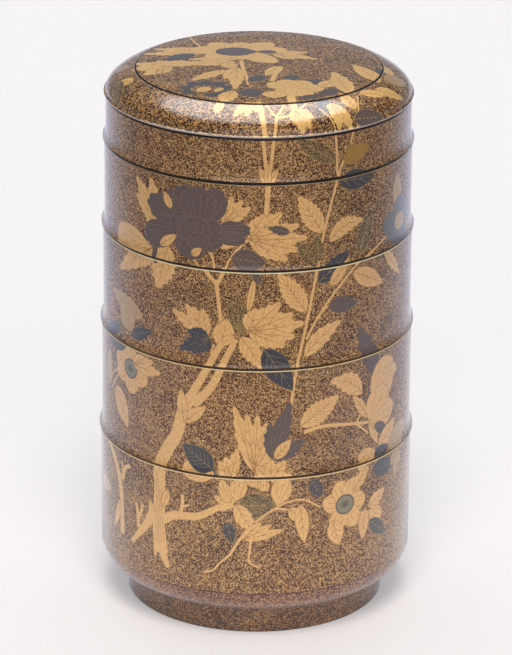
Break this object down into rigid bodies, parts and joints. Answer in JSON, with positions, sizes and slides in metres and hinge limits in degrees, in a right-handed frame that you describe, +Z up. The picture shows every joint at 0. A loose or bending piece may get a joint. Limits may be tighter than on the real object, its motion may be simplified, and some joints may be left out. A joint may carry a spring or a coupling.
{
  "type": "stacked food box",
  "caption": "Round lacquered food box: a low round-shouldered lid, a shallow tray and deepening tiers that nest on a footed base, with gold sprays of leaves and flowers.",
  "frame": {"origin": "middle of the foot ring's underside, on the surface that the box stands on", "axes": "+Z up along the axis of the stack, -Y towards the decorated front"},
  "size_m": [0.1792, 0.1792, 0.313],
  "materials": {
    "speckled_lacquer": "dark brown lacquer with dense gold flecks under a clear gloss, with flat sprays in gold, slate and olive"
  },
  "bodies": {
    "root": {"base_tier": "speckled_lacquer", "lower_tier": "speckled_lacquer", "middle_tier": "speckled_lacquer", "upper_tier": "speckled_lacquer", "top_tray": "speckled_lacquer", "lid": "speckled_lacquer"}
  },
  "joints": []
}
